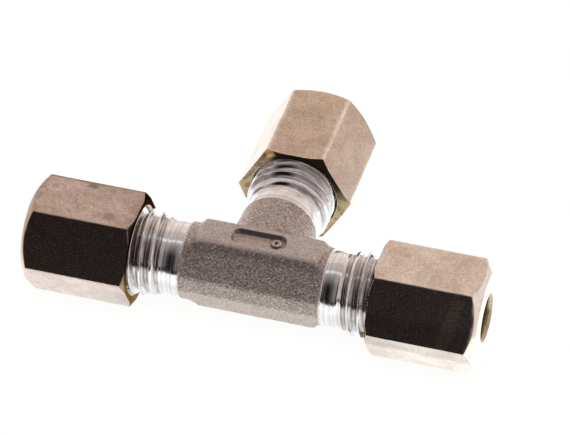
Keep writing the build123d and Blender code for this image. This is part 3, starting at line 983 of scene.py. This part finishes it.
    def roughness(self):
        rough = self.add(self.look["rough"], self.mul(self.cloud, 0.06))
        rough = self.add(rough, self.mul(self.stain, 0.012))
        rough = self.add(rough, self.mul(self.sub(self.fine, 0.35), 0.16))
        rough = self.add(rough, self.mul(self.ramp(self.speck, span=(0.60, 0.70)), 0.05))
        rough = self.sub(rough, self.mul(self.turned, 0.06))
        rough = self.add(rough, self.mul(self.inner, 0.16))
        rough = self.add(rough, self.mul(self.entry, 0.14))
        if self.port == "right":       # a slanting smear across the front flat
            lean = self.mul(self.sub(self.z, 3.4), -0.19)
            slant = self.add(self.sub(self.along, 28.2), lean)
            slant = self.add(slant, self.mul(self.sub(self.cloud, 0.5), 1.4))
            smear = self.ramp(self.math("ABSOLUTE", slant), span=(1.15, 0.55))
            smear = self.mul(smear, self.ramp(self.across, span=(-4.2, -4.8)))
            rough = self.add(rough, self.mul(smear, 0.030))
        return rough

    def height(self):
        """Drawn-bar streaks along the axis on the flats, lathe lines where turned."""
        stretch = (1.0, 0.06, 1.0) if self.port == "branch" else (0.06, 1.0, 1.0)
        streak = self.noise(self.coords(scale=stretch), scale=6.0, detail=4, rough=0.7)
        peel = self.noise(self.place, scale=1.7, detail=3, rough=0.55)
        flat = self.add(self.mul(streak, 0.35), self.mul(peel, 1.0))
        flat = self.add(flat, self.mul(self.fine, 0.35))
        flat = self.add(flat, self.mul(self.speck, 0.45))
        lathe = self.add(
            self.lines(self.radius, scale=9.0, detail=2), self.lines(self.along, scale=9.0, detail=2)
        )
        return self.mix_float(self.mul(flat, 0.006), self.mul(lathe, 0.0045), by=self.turned)


def nut_material(port):
    mat = NutMetal(port)
    edge_tint = mat.mix((1.0, 1.0, 1.0), (0.30, 0.24, 0.18), by=mat.inner)
    mat.put(edge_tint, mat.bsdf.inputs["Specular Tint"])
    return mat.finish(mat.colour(), mat.roughness(), mat.height())


# -------------------------------------------------------------- other materials
def turned_material(port):
    """Bright turned steel with tool lines, darker in the thread's roots."""
    mat = Metal("bright_turned_" + port)
    radius, along, _, _ = mat.port_polar(port)
    place_mm = mat.coords()
    cloud = mat.noise(place_mm, scale=0.6, detail=4, rough=0.6, distort=0.5)
    fine = mat.noise(place_mm, scale=6.0, detail=3, rough=0.6)
    line = mat.lines(along, scale=2.6, detail=4, rough=0.78)
    hair = mat.lines(mat.add(along, mat.mul(radius, 2.3)), scale=9.0, detail=2, rough=0.7)
    clouding = mat.ramp(cloud, span=(0.35, 0.7))
    colour = mat.mix((0.80, 0.790, 0.815), (0.66, 0.640, 0.655), by=clouding)
    dark_lines = mat.ramp(line, span=(0.46, 0.60), to=(0.0, 0.62))
    colour = mat.mix(colour, (0.47, 0.445, 0.45), by=dark_lines)
    bright_lines = mat.ramp(hair, span=(0.52, 0.66), to=(0.0, 0.40))
    colour = mat.mix(colour, (0.93, 0.90, 0.89), by=bright_lines)
    on_thread = mat.ramp(mat.math("ABSOLUTE", along), span=(12.3, 12.9))
    # darker in the thread's roots, unevenly
    root_darkening = mat.mul(mat.ramp(radius, span=(5.42, 5.15)), on_thread)
    root_darkening = mat.mul(root_darkening, mat.ramp(cloud, span=(0.3, 0.7), to=(0.35, 0.85)))
    colour = mat.mix(colour, (0.33, 0.275, 0.22), by=root_darkening)
    rough = mat.add(0.07, mat.mul(cloud, 0.09))
    rough = mat.add(rough, mat.mul(mat.ramp(line, span=(0.42, 0.66)), 0.15))
    lathe = mat.add(
        mat.lines(along, scale=6.0, detail=3, rough=0.75),
        mat.mul(mat.lines(radius, scale=9.0, detail=2), 0.6),
    )
    return mat.finish(colour, rough, mat.add(mat.mul(lathe, 0.0075), mat.mul(fine, 0.0020)))


def ring_material():
    mat = Metal("ring_smooth")
    place_mm = mat.coords()
    cloud = mat.noise(place_mm, scale=0.6, detail=4, rough=0.6, distort=0.4)
    fine = mat.noise(place_mm, scale=7.0, detail=3, rough=0.6)
    clouding = mat.ramp(cloud, span=(0.35, 0.7))
    colour = mat.mix((0.68, 0.64, 0.58), (0.55, 0.50, 0.43), by=clouding)
    return mat.finish(colour, mat.add(0.18, mat.mul(cloud, 0.12)), mat.mul(fine, 0.003))


def forged_material():
    """Shot-blasted grey skin, bright where the shoulders and bores are machined."""
    mat = Metal("shot_blasted_forging")
    place_mm = mat.coords()
    skin, pit = mat.attribute("skin"), mat.attribute("pit")
    cloud = mat.noise(place_mm, scale=0.28, detail=4, rough=0.6, distort=0.3)
    mid = mat.noise(place_mm, scale=1.6, detail=4, rough=0.65)
    fine = mat.noise(place_mm, scale=3.9, detail=3, rough=0.70)
    cells = mat.new("ShaderNodeTexVoronoi")
    mat.put(place_mm, cells.inputs["Vector"])
    cells.inputs["Scale"].default_value = 4.3

    # places on the body, in metres
    _, y, z = mat.split(mat.position())
    front = mat.ramp(y, span=(-0.0019, -0.0024))
    upper = mat.mul(mat.ramp(z, span=(0.0069, 0.0075)), mat.ramp(z, span=(0.0118, 0.0111)))
    under = mat.ramp(z, span=(0.0049, 0.0043))

    # clouding, then light grains, dark grains and pits, fewer on calm places
    clouding = mat.ramp(cloud, span=(0.35, 0.68))
    colour = mat.mix((0.515, 0.455, 0.440), (0.450, 0.390, 0.372), by=clouding)
    patches = mat.ramp(mid, span=(0.42, 0.72), to=(0.0, 0.35))
    colour = mat.mix(colour, (0.37, 0.315, 0.295), by=patches)
    busy = mat.sub(1.0, mat.mul(mat.attribute("calm"), 0.50))
    busy = mat.sub(busy, mat.mul(mat.mul(under, front), 0.32))
    for source, span, most, over in (
        (fine, (0.51, 0.63), 0.60, (0.82, 0.75, 0.725)),
        (fine, (0.49, 0.36), 0.78, (0.20, 0.165, 0.152)),
        (pit, (0.20, 0.80), 0.66, (0.19, 0.16, 0.15)),
    ):
        colour = mat.mix(colour, over, by=mat.mul(busy, mat.ramp(source, span, to=(0.0, most))))

    # below the top it is a little warmer; painted shade darkens the upper front, painted light
    # brightens the lower front
    warm = mat.new("ShaderNodeVectorMath", operation="MULTIPLY")
    mat.put(colour, warm.inputs[0])
    warm.inputs[1].default_value = (1.0, 0.955, 0.915)
    colour = mat.mix(colour, warm.outputs[0], by=mat.ramp(z, span=(0.0118, 0.0111)))
    level = mat.sub(mat.mul(under, 0.13), mat.mul(upper, 0.19))
    colour = mat.brighten(colour, mat.add(1.0, mat.mul(front, level)))
    # painted shade from the shade attribute: pocket wall, upper front slope, front band
    shade = mat.mul(mat.attribute("shade"), 0.80)
    colour = mat.mix(colour, (0.105, 0.085, 0.078), by=shade)
    machined = mat.math("SUBTRACT", 1.0, skin, clamp=True)
    colour = mat.mix(colour, (0.80, 0.765, 0.75), by=machined)
    spot = mat.blotch((2.45, 0.3, 11.7), size=0.34, ragged=mid)
    colour = mat.mix(colour, (0.05, 0.04, 0.035), by=spot)

    rough = mat.add(0.30, mat.mul(mid, 0.16))
    machined = mat.math("SUBTRACT", 1.0, skin, clamp=True)
    rough = mat.sub(rough, mat.mul(machined, 0.22))
    height = mat.add(mat.mul(fine, 0.110), mat.mul(cells.outputs["Distance"], 0.074))
    height = mat.mul(height, mat.sub(1.0, mat.mul(mat.attribute("calm"), 0.45)))
    return mat.finish(colour, rough, mat.mul(height, skin))


# ------------------------------------------------------------------ build it all
forging(forged_material())
for port_name in PORTS:
    male_end(port_name, turned_material(port_name))
    nut(port_name, nut_material(port_name))
ring_look = ring_material()
for port_name in PORTS:
    ring(port_name, ring_look)


# ------------------------------------------------------------------- stage, in metres
FLOOR_Z = CAD_LO.z - 0.00002
FLOOR_HALF = 3.0


def floor_material():
    """Pale sweep: evenly lit to the camera, bright only near the object in reflections."""
    material = bpy.data.materials.new("pale_floor")
    mat = Tree(material)
    out = mat.new("ShaderNodeOutputMaterial")
    geometry = mat.new("ShaderNodeNewGeometry")
    x, y, _ = mat.split(geometry.outputs["Position"])

    def distance(dx, dy):
        return mat.math("SQRT", mat.add(mat.mul(dx, dx), mat.mul(dy, dy)), 0.0)

    def beyond(value, half):
        return mat.peak(mat.sub(mat.math("ABSOLUTE", value, 0.0), half), 0.0)

    def emission(colour, strength):
        node = mat.new("ShaderNodeEmission")
        mat.put(colour, node.inputs["Color"])
        mat.put(strength, node.inputs["Strength"])
        return node.outputs[0]

    # in reflections: cut off at the front, warmer far out, with a painted shadow dimming it under
    # the object
    near = mat.ramp(y, span=(-0.046, -0.038), to=(0.012, 1.0))
    # written out, because x serves both factors and only y is shifted
    away = distance(x, mat.sub(y, 0.012))
    far = mat.ramp(away, span=(0.044, 0.066))
    tint = mat.mix((1.44, 1.47, 1.46), (0.97, 0.845, 0.765), by=far)
    gap = distance(beyond(x, 0.0145), beyond(y, 0.008))
    under = mat.ramp(gap, span=(0.0, 0.009), to=(0.80, 1.0))
    reflected = emission(tint, mat.mul(near, under))

    # to the camera: near white with a faint contact shadow
    occlusion = mat.new("ShaderNodeAmbientOcclusion", samples=8)
    occlusion.inputs["Distance"].default_value = 0.004
    shade = mat.ramp(occlusion.outputs["AO"], span=(0.0, 0.9), to=(0.95, 1.0))
    colour = mat.new("ShaderNodeCombineColor")
    mat.put(shade, colour.inputs[0])
    mat.put(mat.mul(shade, 0.998), colour.inputs[1])
    mat.put(mat.mul(shade, 0.992), colour.inputs[2])
    seen = emission(colour.outputs[0], 1.012)

    # from underneath the floor is clear, so the object's underside can be looked at
    above = mat.mix_shader(reflected, seen, by=mat.is_camera())
    clear = mat.new("ShaderNodeBsdfTransparent").outputs[0]
    surface = mat.mix_shader(above, clear, by=geometry.outputs["Backfacing"])
    mat.put(surface, out.inputs["Surface"])
    return material


def build_floor():
    mesh = bpy.data.meshes.new("studio_floor")
    corners = [(-1, -1), (1, -1), (1, 1), (-1, 1)]
    verts = [(x * FLOOR_HALF, y * FLOOR_HALF, FLOOR_Z) for x, y in corners]
    mesh.from_pydata(verts, [], [(0, 1, 2, 3)])
    floor = bpy.data.objects.new("studio_floor", mesh)
    bpy.context.scene.collection.objects.link(floor)
    mesh.materials.append(floor_material())


# degrees round X (0 front horizon, 90 zenith, 180 back horizon) and colour
STUDIO_BANDS = [
    (0, (0.0055, 0.0045, 0.004)), (40, (0.007, 0.006, 0.005)), (50, (0.045, 0.038, 0.036)),
    (62, (0.20, 0.175, 0.165)), (76, (0.34, 0.310, 0.300)), (86, (0.50, 0.465, 0.455)),
    (88.5, (1.25, 1.20, 1.18)), (92, (1.25, 1.20, 1.18)), (95, (0.52, 0.475, 0.45)),
    (112, (0.66, 0.585, 0.535)), (121, (0.66, 0.575, 0.52)), (127, (0.95, 0.82, 0.72)),
    (150, (0.98, 0.84, 0.735)), (162, (1.12, 1.02, 0.99)), (180, (1.05, 0.96, 0.93)),
]


def build_world():
    """Soft studio surroundings as bands round the X axis; plain white to the camera."""
    world = bpy.data.worlds.new("studio")
    bpy.context.scene.world = world
    sky = Tree(world)
    out = sky.new("ShaderNodeOutputWorld")
    direction = sky.new("ShaderNodeTexCoord").outputs["Generated"]
    _, y, z = sky.split(direction)
    angle = sky.math("DIVIDE", sky.math("ARCTAN2", z, sky.mul(y, -1.0)), math.pi)
    bands = sky.new("ShaderNodeValToRGB")
    sky.put(angle, bands.inputs[0])
    stops = bands.color_ramp.elements
    stops.remove(stops[-1])
    stops[0].position = 0.0
    stops[0].color = (*STUDIO_BANDS[0][1], 1)
    for degrees, colour in STUDIO_BANDS[1:]:
        stops.new(degrees / 180.0).color = (*colour, 1)

    # soft side light: steep side faces see it even low at the front
    unit = sky.new("ShaderNodeVectorMath", operation="NORMALIZE")
    sky.put(direction, unit.inputs[0])
    sideways = sky.split(unit.outputs[0])[0]
    sides = sky.add(
        sky.ramp(sideways, span=(-0.13, 0.10), to=(0.0, 0.32)),
        sky.ramp(sideways, span=(-0.45, -0.72), to=(0.0, 0.75)),
    )
    sides = sky.add(sides, sky.ramp(sideways, span=(0.55, 0.85), to=(0.0, 0.74)))
    fade = sky.ramp(angle, span=(60 / 180, 110 / 180), to=(1.0, 0.0))
    lit = sky.mix(bands.outputs[0], (0.92, 0.80, 0.80), by=sky.mul(sides, fade))

    def background(colour):
        node = sky.new("ShaderNodeBackground")
        sky.put(colour, node.inputs["Color"])
        return node.outputs[0]

    surface = sky.mix_shader(background(lit), background((1, 1, 1, 1)), by=sky.is_camera())
    sky.put(surface, out.inputs["Surface"])


build_floor()
build_world()
bpy.context.scene.view_settings.view_transform = "Standard"
bpy.context.scene.view_settings.look = "None"

# ------------------------------------------------------------------------ camera
AZIMUTH, ELEVATION, ROLL = (math.radians(angle) for angle in (16.06, 40.645, 0.318))
CAMERA_AWAY, CAMERA_RIGHT, CAMERA_UP = 577.615, 3.576, 7.462      # mm from the crossing
LENS = 270.70219                                                  # mm


def build_camera():
    sin_az, cos_az = math.sin(AZIMUTH), math.cos(AZIMUTH)
    sin_el, cos_el = math.sin(ELEVATION), math.cos(ELEVATION)
    away = Vector((sin_az * cos_el, -cos_az * cos_el, sin_el))
    level = Vector((cos_az, sin_az, 0))
    upright = Vector((-sin_az * sin_el, cos_az * sin_el, cos_el))
    right = level * math.cos(ROLL) + upright * math.sin(ROLL)
    up = -level * math.sin(ROLL) + upright * math.cos(ROLL)
    position = away * CAMERA_AWAY + right * CAMERA_RIGHT + up * CAMERA_UP
    position += Vector((0, 0, AXIS_Z))
    data = bpy.data.cameras.new("camera")
    data.sensor_width = 36.0
    data.lens = LENS
    data.clip_start, data.clip_end = 0.01, 20.0
    camera = bpy.data.objects.new("camera", data)
    bpy.context.scene.collection.objects.link(camera)
    matrix = Matrix((right, up, away)).transposed().to_4x4()
    matrix.translation = position * MM
    camera.matrix_world = matrix
    bpy.context.scene.camera = camera


build_camera()
